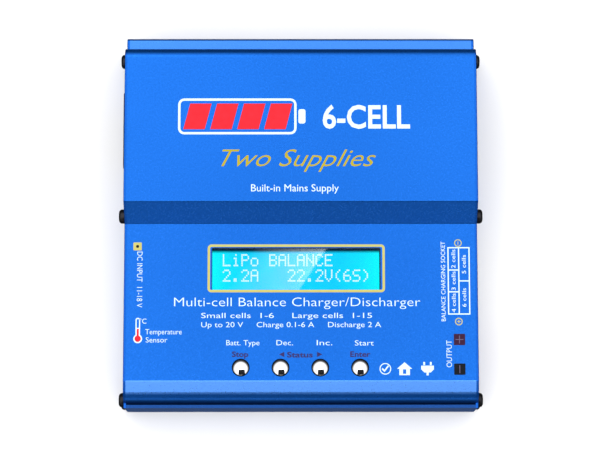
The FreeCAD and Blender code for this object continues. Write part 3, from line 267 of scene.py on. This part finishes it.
def lit_panel():
    """The display's backlight: bright cyan, brightest at its ends, with cloudy patches and an
    unlit border at the rear and right-hand edges."""
    m = Finish("display_backlight", Roughness=0.5, Specular_IOR_Level=0.1)
    x, y, _ = m.axes()
    ends = ((x - PANEL_MIDDLE_X).math("ABSOLUTE") / PANEL_HALF).math("POWER", 4)
    patch = m.noise(120, 1)
    glow = m.mix(patch, srgb(0, 190, 250), srgb(0, 216, 252))
    glow = m.mix(ends, glow, srgb(0, 248, 255))
    lit = ((LIT_REAR - y) / (1.2 * mm)).held() * (x < LIT_RIGHT)
    glow = m.mix(lit, (0.0, 0.012, 0.03, 1), glow)
    m.feed(Base_Color=m.mix(0.9, glow, BLACK), Emission_Color=glow)
    m.shader.inputs["Emission Strength"].default_value = 1.15
    return m.material


def lit_dots():
    """The display's characters: near white, a shade of blue in places."""
    m = Finish("display_dots", Roughness=0.4)
    fine = m.noise(900, 2)
    white = m.mix(fine, (0.75, 0.97, 1, 1), (0.6, 0.94, 1, 1))
    m.feed(Base_Color=m.mix(0.8, white, BLACK), Emission_Color=white)
    m.shader.inputs["Emission Strength"].default_value = 0.85
    return m.material


def circuit_board():
    """Green solder mask with tracks and pads showing through it."""
    m = Finish("circuit_board", Roughness=0.35)
    tracks = m.node("TexVoronoi", "Distance", {"feature": "DISTANCE_TO_EDGE", "distance": "CHEBYCHEV"},
                    Vector=m.place, Scale=320.0)
    line = tracks < 0.05
    fine = m.noise(900, 2)
    green = m.mix(line, (0.012, 0.12, 0.045, 1), (0.03, 0.24, 0.09, 1))
    m.feed(Base_Color=green, Roughness=0.28 + fine * 0.14)
    return m.bump(line, 0.3, 0.00004).material


BLUE = srgb(30, 104, 204)
DEEP_BLUE = srgb(18, 86, 176)
finishes = {
    "cover_blue": anodised("anodised_cover", BLUE, DEEP_BLUE, brow=BROW),
    "tray_blue": anodised("anodised_tray", srgb(30, 98, 196), srgb(18, 80, 168), rim=TRAY_RIM),
    "plate_blue": anodised("anodised_plate", srgb(24, 94, 192), srgb(14, 74, 164)),
    "screw_black": metal("blackened_screw", (0.035, 0.035, 0.04, 1), 0.38),
    "screw_zinc": metal("zinc_screw", (0.66, 0.66, 0.63, 1), 0.32),
    "foot_rubber": moulded("foot_rubber", (0.02, 0.02, 0.02, 1), 0.8, 1500, 0.4),
    "window_clear": clear_sheet("clear_acrylic", 0.03),
    "bezel_steel": moulded("painted_bezel", (0.012, 0.012, 0.014, 1), 0.4),
    "lcd_glass": clear_sheet("display_glass", 0.01),
    "backlight": lit_panel(),
    "board_green": circuit_board(),
    "header_black": moulded("header_plastic", (0.02, 0.02, 0.02, 1), 0.5),
    "button_chrome": chromed_cap(),
    "package_black": moulded("package_epoxy", (0.022, 0.022, 0.024, 1), 0.55, 1600),
    "post_nickel": metal("nickel_post", (0.62, 0.6, 0.56, 1), 0.3),
    "can_dark": moulded("can_sleeve", (0.02, 0.022, 0.06, 1), 0.35),
    "copper_winding": metal("enamelled_copper", (0.62, 0.24, 0.09, 1), 0.3, (1, 1, 14), 0.5),
    "ferrite": moulded("ferrite", (0.05, 0.05, 0.055, 1), 0.6, 1400, 0.3),
    "tape_yellow": moulded("winding_tape", (0.72, 0.5, 0.03, 1), 0.3, 300),
    "capacitor_yellow": moulded("boxed_capacitor", (0.68, 0.4, 0.02, 1), 0.35),
    "bare_aluminium": metal("mill_aluminium", (0.72, 0.73, 0.74, 1), 0.35, (1, 14, 1), 0.2),
    "pad_grey": moulded("silicone_pad", (0.3, 0.32, 0.35, 1), 0.75),
    "socket_white": moulded("socket_nylon", (0.74, 0.72, 0.64, 1), 0.42, 1100, 0.12),
    "pin_tin": metal("tinned_pin", (0.78, 0.77, 0.74, 1), 0.25),
    "jack_red": moulded("jack_red", (0.52, 0.012, 0.012, 1), 0.32),
    "jack_black": moulded("jack_black", (0.018, 0.018, 0.018, 1), 0.32),
    "contact_brass": metal("turned_brass", (0.83, 0.6, 0.24, 1), 0.25, (14, 1, 1), 0.2),
    "inlet_black": moulded("inlet_plastic", (0.02, 0.02, 0.021, 1), 0.48, 1200, 0.2),
    "sheet_clear": moulded("insulating_sheet", (0.6, 0.6, 0.55, 1), 0.3),
    "fuse_glass": moulded("fuse_glass", (0.6, 0.64, 0.64, 1), 0.1),
    "lead_black": moulded("lead_insulation", (0.02, 0.02, 0.02, 1), 0.5),
    "fan_black": moulded("fan_plastic", (0.025, 0.025, 0.026, 1), 0.42, 1200, 0.15),
    "cable_white": moulded("flat_cable", (0.7, 0.7, 0.66, 1), 0.4),
}
for part in frame["record"]["subparts"]:
    slots = node[part["node"]].data.materials
    slots.clear()
    slots.append(finishes[part["material_slot"]])


# ---------------------------------------------------------------- modelling helpers
def keep(obj, name, finish):
    """Names a finished piece, gives it its finish and lets it ride on the case."""
    obj.name = name
    obj.data.name = name
    obj.data.materials.clear()
    obj.data.materials.append(finish)
    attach(obj, "case")


def joined(objects):
    """One object from several, at the origin and unturned."""
    bpy.ops.object.select_all(action="DESELECT")
    for obj in objects:
        obj.select_set(True)
    bpy.context.view_layer.objects.active = objects[0]
    if len(objects) > 1:
        bpy.ops.object.join()
    bpy.ops.object.transform_apply(location=True, rotation=True, scale=True)
    return bpy.context.view_layer.objects.active


INK = 0.03 * mm                 # how thick the print is
CAPITAL = 0.729                 # height of a capital letter in lettering of size 1


def words(text, x, y, z, height, width, turn=0.0, weight=0.0, slant=0.0):
    """A line of lettering as a thin raised mesh, in millimetres: capitals of the given height, the
    whole line as wide as width, its foot centred on (x, y) and turned about it."""
    bpy.ops.object.select_all(action="DESELECT")
    bpy.ops.object.text_add(location=(0, 0, 0))
    line = bpy.context.object
    line.data.body = text
    line.data.align_x = "CENTER"
    line.data.size = height * mm / CAPITAL
    line.data.offset = weight * mm
    line.data.shear = slant
    line.data.extrude = INK / 2
    line.data.resolution_u = 3
    bpy.context.view_layer.update()
    stretch = width * mm / line.dimensions.x
    bpy.ops.object.convert(target="MESH")
    line = bpy.context.object
    foot = Matrix.Translation((x * mm, y * mm, z + INK / 2))
    spin = Matrix.Rotation(math.radians(turn), 4, "Z")
    line.matrix_world = foot @ spin @ Matrix.Diagonal((stretch, 1, 1, 1))
    bpy.ops.object.transform_apply(location=True, rotation=True, scale=True)
    return line


def flat_shape(outlines, z):
    """Thin raised ink from closed (x, y) outlines, in millimetres. A later outline inside an
    earlier one is a hole in it."""
    curve = bpy.data.curves.new("outline", "CURVE")
    curve.dimensions = "2D"
    curve.fill_mode = "BOTH"
    curve.extrude = INK / 2
    for outline in outlines:
        spline = curve.splines.new("POLY")
        spline.points.add(len(outline) - 1)
        for point, (px, py) in zip(spline.points, outline):
            point.co = (px * mm, py * mm, 0, 1)
        spline.use_cyclic_u = True
    shape = bpy.data.objects.new("outline", curve)
    bpy.context.collection.objects.link(shape)
    bpy.ops.object.select_all(action="DESELECT")
    shape.select_set(True)
    bpy.context.view_layer.objects.active = shape
    bpy.ops.object.convert(target="MESH")
    shape = bpy.context.object
    shape.location.z = z + INK / 2
    bpy.ops.object.transform_apply(location=True, rotation=True, scale=True)
    return shape


def round_box(x0, y0, x1, y1, r, steps=6):
    """A rounded rectangle's outline."""
    corners = ((x1 - r, y1 - r, 0), (x0 + r, y1 - r, 90), (x0 + r, y0 + r, 180), (x1 - r, y0 + r, 270))
    return [p for cx, cy, start in corners for p in arc(cx, cy, r, start, start + 90, steps)]


def arc(x, y, r, start, end, steps):
    """Points of a circle round (x, y) from one angle to another, in degrees, both ends included."""
    turns = [math.radians(start + (end - start) * i / steps) for i in range(steps + 1)]
    return [(x + r * math.cos(a), y + r * math.sin(a)) for a in turns]


def disc(x, y, r, steps=32):
    return arc(x, y, r, 0, 360, steps)[:-1]


def box_outline(x0, y0, x1, y1):
    return [(x0, y0), (x1, y0), (x1, y1), (x0, y1)]


def framed(x0, y0, x1, y1, r, line):
    """A line of the given width round a rounded rectangle: its outer and its inner outline."""
    inner = round_box(x0 + line, y0 + line, x1 - line, y1 - line, max(r - line, 0.01))
    return [round_box(x0, y0, x1, y1, r), inner]


# ---------------------------------------------------------------- printed legends
white_ink = printed("white_ink", srgb(216, 234, 246), srgb(202, 224, 240))
gold_ink = printed("gold_ink", srgb(178, 164, 38), srgb(166, 148, 30))
yellow_ink = printed("yellow_ink", srgb(192, 185, 108), srgb(182, 172, 92))
dim_ink = printed("dim_ink", srgb(112, 100, 132), srgb(98, 90, 120))
red_ink = printed("red_ink", srgb(222, 38, 52), srgb(204, 30, 42))
plum_ink = printed("plum_ink", srgb(52, 44, 98), srgb(44, 36, 84))
dark_red_ink = printed("dark_red_ink", srgb(58, 24, 52), srgb(50, 18, 44))
black_ink = printed("black_ink", srgb(8, 16, 28), srgb(5, 10, 20))

F, R = FRONT_DECK, REAR_DECK


def front_words():
    """Each line: its words, the place of its foot, the height and width, and the turn in degrees."""
    rows = [
        ("Multi-cell Balance Charger/Discharger", -1.6, -33.6, 3.6, 93.8, 0),
        ("Small cells  1-6     Large cells  1-15", -5.4, -38.1, 2.1, 65.0, 0),
        ("Up to 20 V     Charge 0.1-6 A     Discharge 2 A", -3.8, -41.6, 2.1, 68.4, 0),
        ("Batt. Type", -22.1, -48.5, 2.1, 12.6, 0),
        ("Dec.", -6.2, -48.5, 2.1, 6.3, 0),
        ("Inc.", 8.9, -48.5, 2.1, 5.9, 0),
        ("Start", 24.0, -48.6, 2.1, 7.2, 0),
        ("Sensor", -54.9, -47.4, 2.1, 8.2, 0),
        ("Temperature", -52.2, -44.3, 2.1, 13.8, 0),
        ("°C", -60.1, -40.2, 2.0, 2.7, 0),
        ("DC INPUT  11-18 V", -62.5, -23.2, 2.2, 21.4, -90),
        ("BALANCE CHARGING SOCKET", 55.1, -24.1, 1.7, 30.6, 90),
        ("OUTPUT", 57.3, -51.8, 2.2, 10.3, 90),
        ("2 cells", 59.0, -15.4, 1.6, 7.2, 90),
        ("3 cells", 59.0, -23.9, 1.6, 7.2, 90),
        ("4 cells", 59.0, -32.3, 1.6, 7.2, 90),
        ("5 cells", 63.0, -17.5, 1.6, 7.2, 90),
        ("6 cells", 63.0, -30.3, 1.6, 7.2, 90),
    ]
    thinning, full_weight = 0.03, 1.7     # the taller the lettering, the lighter it is set
    return [words(text, x, y, F, height, width, turn, thinning * (full_weight - height))
            for text, x, y, height, width, turn in rows]


def socket_table():
    """The ruled table of cell counts: three cells in its left column, two in its right."""
    half_line = 0.225
    x0, x_middle, x1 = 56.25, 60.3, 64.3
    left_rows, right_rows = (-11.1, -19.7, -28.1, -36.6), (-11.1, -23.9, -36.6)
    top, bottom = left_rows[0], left_rows[-1]
    outlines = [box_outline(x0 - half_line, bottom - half_line, x1 + half_line, top + half_line)]
    for a, b, rows in ((x0, x_middle, left_rows), (x_middle, x1, right_rows)):
        for high, low in zip(rows, rows[1:]):
            outlines.append(box_outline(a + half_line, low + half_line, b - half_line, high - half_line))
    return flat_shape(outlines, F)


def thermometer():
    """A white tube and bulb round a red column."""
    x, low, top = -62.0, -46.0, -38.0
    tube_r, bulb_r = 0.88, 1.7
    join = math.degrees(math.asin(tube_r / bulb_r))
    outer = arc(x, low, bulb_r, 90 - join, join - 270, 24) + arc(x, top - tube_r, tube_r, 180, 0, 12)
    hollow = round_box(x - 0.45, -41.9, x + 0.45, top - 0.45, 0.44, 4)
    column_r, ball_r, level = 0.4, 1.2, -42.2
    join = math.degrees(math.asin(column_r / ball_r))
    column = [(x + column_r, level), (x - column_r, level)] + arc(x, low, ball_r, 90 + join, 450 - join, 24)
    return flat_shape([outer, hollow], F), flat_shape([column], F + INK)


def sign(x, y, size, plus):
    """A plus or minus made of bars."""
    h, w = 0.13, size / 2
    bars = [box_outline(x - h, y - w, x + h, y + w)]
    if plus:
        bars.append(box_outline(x - w, y - h, x - h, y + h))
        bars.append(box_outline(x + h, y - h, x + w, y + h))
    return joined([flat_shape([bar], F + INK) for bar in bars])


def triangle(x, y, side):
    """An arrowhead that points left where side is 1, and right where it is -1."""
    return flat_shape([[(x - side * 1.1, y), (x + side * 0.9, y + 1.0), (x + side * 0.9, y - 1.0)]], F)


def plain_symbols():
    """Three plain pictograms: a ticked ring, a house for indoor use, and a plug."""
    y = -57.5
    ring = framed(29.8, y - 2.2, 34.2, y + 2.2, 2.19, 0.35)
    tick = [(30.6, y - 0.1), (31.7, y - 1.2), (33.4, y + 1.0), (33.0, y + 1.4), (31.7, y - 0.4),
            (31.0, y + 0.3)]
    house = [(36.4, y), (39.3, y + 2.5), (42.2, y), (41.3, y), (41.3, y - 2.4), (37.3, y - 2.4), (37.3, y)]
    door = box_outline(38.7, y - 1.9, 39.9, y - 0.2)
    plug = [(45.6, y + 1.2), (50.4, y + 1.2), (50.4, y - 0.2), (49.2, y - 1.4), (48.4, y - 1.4),
            (48.4, y - 2.5), (47.6, y - 2.5), (47.6, y - 1.4), (46.8, y - 1.4), (45.6, y - 0.2)]
    prongs = [box_outline(x, y + 1.4, x + 0.7, y + 2.6) for x in (46.4, 48.9)]
    shapes = [ring, [tick], [house, door], [plug]] + [[prong] for prong in prongs]
    return joined([flat_shape(shape, F) for shape in shapes])


def print_front():
    tube, red_column = thermometer()
    keep(joined(front_words() + [socket_table(), tube]), "white_legends", white_ink)
    keep(red_column, "thermometer_column", red_ink)
    keep(plain_symbols(), "plain_symbols", white_ink)
    small = [
        words("Stop", -23.1, -52.9, F, 2.1, 6.2, 0, 0.08),
        words("Status", -0.4, -53.1, F, 2.1, 9.8, 0, 0.08),
        words("Enter", 22.4, -52.9, F, 2.1, 7.7, 0, 0.08),
        triangle(-7.2, -52.0, 1),
        triangle(7.0, -52.0, -1),
    ]
    keep(joined(small), "dark_legends", plum_ink)
    window_line = flat_shape(framed(-35.6, -28.25, 32.1, -9.8, 1.5, 0.95), F)
    input_hole = disc(-62.4, -10.55, 0.6, 12)
    input_square = flat_shape([round_box(-64.0, -12.1, -60.8, -9.0, 0.3), input_hole], F)
    rings = [flat_shape([disc(60.1, y, 1.45), disc(60.1, y, 1.1)], F) for y in (-9.3, -39.5)]
    keep(joined([window_line, input_square, *rings]), "yellow_lines", yellow_ink)
    keep(flat_shape([round_box(58.1, -48.5, 62.4, -44.2, 0.3)], F), "positive_square", dark_red_ink)
    keep(flat_shape([round_box(58.1, -59.8, 62.4, -55.5, 0.3)], F), "negative_square", black_ink)
    keep(flat_shape([input_hole], F), "input_symbol_dot", black_ink)
    output_signs = [sign(60.25, -46.35, 3.0, True), sign(60.25, -57.65, 3.0, False)]
    keep(joined(output_signs), "output_signs", dim_ink)
    socket_signs = [sign(60.1, -39.5, 1.3, True), sign(60.1, -9.3, 1.3, False)]
    keep(joined(socket_signs), "socket_signs", yellow_ink)


def print_rear():
    """A plain battery pictogram, plain words, and two lines below."""
    x0, y0, x1, y1 = -46.9, 31.6, -1.6, 45.6
    outline = framed(x0, y0, x1, y1, 2.4, 0.9)
    knob = round_box(x1 + 0.7, y0 + 4.2, x1 + 3.4, y1 - 4.2, 0.8)
    keep(joined([flat_shape(outline, R), flat_shape([knob], R)]), "battery_outline", white_ink)
    gap, step, width, lean = 2.0, 10.3, 8.2, 2.6
    bars = []
    for i in range(4):
        a = x0 + gap + i * step
        low, high = y0 + gap, y1 - gap
        bars.append(flat_shape([[(a, low), (a + width, low), (a + width + lean, high), (a + lean, high)]], R))
    keep(joined(bars), "battery_bars", red_ink)
    cells = words("6-CELL", 24.9, 34.1, R, 9.2, 33.4, 0, 0.25)
    supply = words("Built-in Mains Supply", -2.4, 9.5, R, 2.9, 33.4)
    keep(joined([cells, supply]), "white_rear_words", white_ink)
    script = words("Two Supplies", -3.0, 19.2, R, 7.0, 59.0, 0, -0.04, 0.45)
    keep(joined([script]), "gold_rear_words", gold_ink)


print_front()
print_rear()


# ---------------------------------------------------------------- display
GLYPHS = {
    "L": "10000 10000 10000 10000 10000 10000 11111",
    "i": "00100 00000 01100 00100 00100 00100 01110",
    "P": "11110 10001 10001 11110 10000 10000 10000",
    "o": "00000 00000 01110 10001 10001 10001 01110",
    "B": "11110 10001 10001 11110 10001 10001 11110",
    "A": "01110 10001 10001 11111 10001 10001 10001",
    "N": "10001 10001 11001 10101 10011 10001 10001",
    "C": "01110 10001 10000 10000 10000 10001 01110",
    "E": "11111 10000 10000 11110 10000 10000 11111",
    "2": "01110 10001 00001 00010 00100 01000 11111",
    ".": "00000 00000 00000 00000 00000 01100 01100",
    "V": "10001 10001 10001 10001 10001 01010 00100",
    "(": "00010 00100 01000 01000 01000 00100 00010",
    ")": "01000 00100 00010 00010 00010 00100 01000",
    "6": "00110 01000 10000 11110 10001 10001 01110",
    "S": "01111 10000 10000 01110 00001 00001 11110",
}
DISPLAY_LINES = ("LiPo BALANCE", "2.2A   22.2V(6S)")
FIRST_DOT = (-29.6, -13.5)      # top left, in millimetres like the next four
CHARACTER_PITCH = (3.55, 5.95)  # from one character, and from one line, to the next
DOT_PITCH = (0.6, 0.68)
DOT = (0.51, 0.59, 0.04)        # width, depth and rise
DOT_EDGE = 0.012


def one_dot():
    """A lit dot: a low block with its edges taken off."""
    bpy.ops.object.select_all(action="DESELECT")
    bpy.ops.mesh.primitive_cube_add(size=1)
    dot = bpy.context.object
    dot.scale = [side * mm for side in DOT]
    bpy.ops.object.transform_apply(location=False, rotation=False, scale=True)
    edges = dot.modifiers.new("edges", "BEVEL")
    edges.width = DOT_EDGE * mm
    edges.segments = 1
    bpy.ops.object.modifier_apply(modifier="edges")
    return dot


def dot_places():
    """Where both lines have a lit dot, five by seven dots to a character."""
    places = []
    for row, line in enumerate(DISPLAY_LINES):
        for column, letter in enumerate(line):
            for down, bits in enumerate(GLYPHS.get(letter, "").split()):
                for along, bit in enumerate(bits):
                    if bit == "1":
                        x = FIRST_DOT[0] + column * CHARACTER_PITCH[0] + along * DOT_PITCH[0]
                        y = FIRST_DOT[1] - row * CHARACTER_PITCH[1] - down * DOT_PITCH[1]
                        places.append((x, y))
    return places


def display_dots():
    """One dot, copied to each place, just above the glass."""
    first = one_dot()
    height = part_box("lcd_glass")[1].z + (0.01 + DOT[2] / 2) * mm
    dots = []
    for x, y in dot_places():
        dot = first.copy()
        dot.data = first.data.copy()
        dot.location = (x * mm, y * mm, height)
        bpy.context.collection.objects.link(dot)
        dots.append(dot)
    bpy.data.objects.remove(first)
    keep(joined(dots), "display_dots", lit_dots())


display_dots()


# ---------------------------------------------------------------- studio
def floor():
    """A wide pale floor, left out of reflections."""
    paint = Finish("studio_floor", Roughness=0.8)
    paint.feed(Base_Color=paint.mix(paint.noise(40, 2), (0.9, 0.9, 0.9, 1), (0.882, 0.882, 0.882, 1)))
    bpy.ops.object.select_all(action="DESELECT")
    bpy.ops.mesh.primitive_plane_add(size=40, location=(0, 0, 0))
    made = bpy.context.object
    made.name = "studio_floor"
    made.data.materials.append(paint.material)
    made.visible_glossy = False


def area(name, place, aim, size, power):
    """A soft, rectangular lamp that points at aim."""
    light = bpy.data.lights.new(name, "AREA")
    light.shape = "RECTANGLE"
    light.size, light.size_y = size
    light.energy = power
    lamp = bpy.data.objects.new(name, light)
    lamp.location = place
    lamp.rotation_euler = (Vector(aim) - Vector(place)).to_track_quat("-Z", "Y").to_euler()
    bpy.context.collection.objects.link(lamp)


# How bright the sky is from underfoot, 0, to overhead, 1
SKY = (
    (0.0, 0.13), (0.30, 0.02), (0.55, 0.03), (0.61, 0.12),
    (0.66, 0.45), (0.76, 0.72), (0.90, 0.97), (1.0, 1.2),
)
OVERHEAD = (0, -0.174, 0.985)   # tilted a little to the front


def dome():
    """Soft light all round: brightest overhead and a little to the front, dim at the horizon. Seen
    straight on, the room is a plain pale wall."""
    world = bpy.data.worlds.new("studio")
    world.use_nodes = True
    sky = Graph(world.node_tree)
    direction = sky.node("TexCoord", "Generated")
    height = sky.node("VectorMath", "Value", {"operation": "DOT_PRODUCT"}, **{"0": direction, "1": OVERHEAD})
    stops = [(place, (grey, grey, grey, 1)) for place, grey in SKY]
    shade = sky.node("ValToRGB", 0, {"stops": stops}, Fac=height * 0.5 + 0.5)
    light = sky.node("Background", Color=shade, Strength=1.8)
    wall = sky.node("Background", Color=(1, 1, 1, 1))
    seen = sky.node("LightPath", "Is Camera Ray")
    both = sky.node("MixShader", **{"0": seen, "1": light, "2": wall})
    sky.fill(sky.tree.nodes["World Output"].inputs["Surface"], both)
    bpy.context.scene.world = world


def card(name, place, tilt, size, material):
    """A flat card that shows only in reflections."""
    bpy.ops.object.select_all(action="DESELECT")
    bpy.ops.mesh.primitive_plane_add(size=1, location=place, rotation=(math.radians(tilt), 0, 0))
    made = bpy.context.object
    made.name = name
    made.scale = (*size, 1)
    made.visible_camera = made.visible_diffuse = made.visible_shadow = False
    made.data.materials.append(material)


def dark_card():
    """Flat black paint."""
    m = Finish("dark_card", Roughness=0.9, Specular_IOR_Level=0.0)
    m.feed(Base_Color=m.mix(m.noise(9, 1), (0.01, 0.01, 0.012, 1), (0.02, 0.02, 0.022, 1)))
    return m.material


WINDOW_SIZE = (0.20, 0.11)


def window_card():
    """Dark, with one hard-edged band of light that fades to the left."""
    m = Finish("window_card", Roughness=0.9, Specular_IOR_Level=0.0, Base_Color=BLACK)
    edge, lean, fade = 0.0127, 0.663, 0.055
    x, y, _ = m.axes()
    past = (edge - (x * WINDOW_SIZE[0] - y * WINDOW_SIZE[1] * lean)) / fade
    band = (past > 0) * (1 - past).math("MAXIMUM", 0.0) * (0.62 + y)
    m.feed(Emission_Color=m.mix(band, BLACK, (1, 1, 1, 1)))
    m.shader.inputs["Emission Strength"].default_value = 2.6
    return m.material


def studio():
    floor()
    dome()
    card("front_card", (0.09, -0.42, 0.382), 42, (0.6, 0.515), dark_card())
    card("window_card", (0.0, 0.0937, 0.85), 0, WINDOW_SIZE, window_card())
    area("rear_left_softbox", (-0.35, 0.62, 1.0), (-0.03, 0.05, 0.03), (0.4, 0.3), 1.2)
    bpy.context.scene.view_settings.view_transform = "Standard"


def camera():
    """Nearly overhead, a little from the front, 0.85 m away."""
    target = Vector((-0.31, -2.52, 30)) * mm
    elevation, azimuth, roll = math.radians(81.064), math.radians(-1.456), math.radians(1.414)
    distance, view_width, sensor = 0.853, 0.22935780, 36
    level = Vector((math.sin(azimuth), -math.cos(azimuth), 0))
    back = math.cos(elevation) * level + Vector((0, 0, math.sin(elevation)))
    right = Vector((math.cos(azimuth), math.sin(azimuth), 0))
    up = back.cross(right)
    side = math.cos(roll) * right + math.sin(roll) * up
    top = math.cos(roll) * up - math.sin(roll) * right
    data = bpy.data.cameras.new("camera")
    data.lens = sensor * distance / view_width
    made = bpy.data.objects.new("camera", data)
    turn = Matrix((side, top, back)).transposed().to_4x4()
    made.matrix_world = Matrix.Translation(target + back * distance) @ turn
    bpy.context.collection.objects.link(made)
    bpy.context.scene.camera = made


studio()
camera()
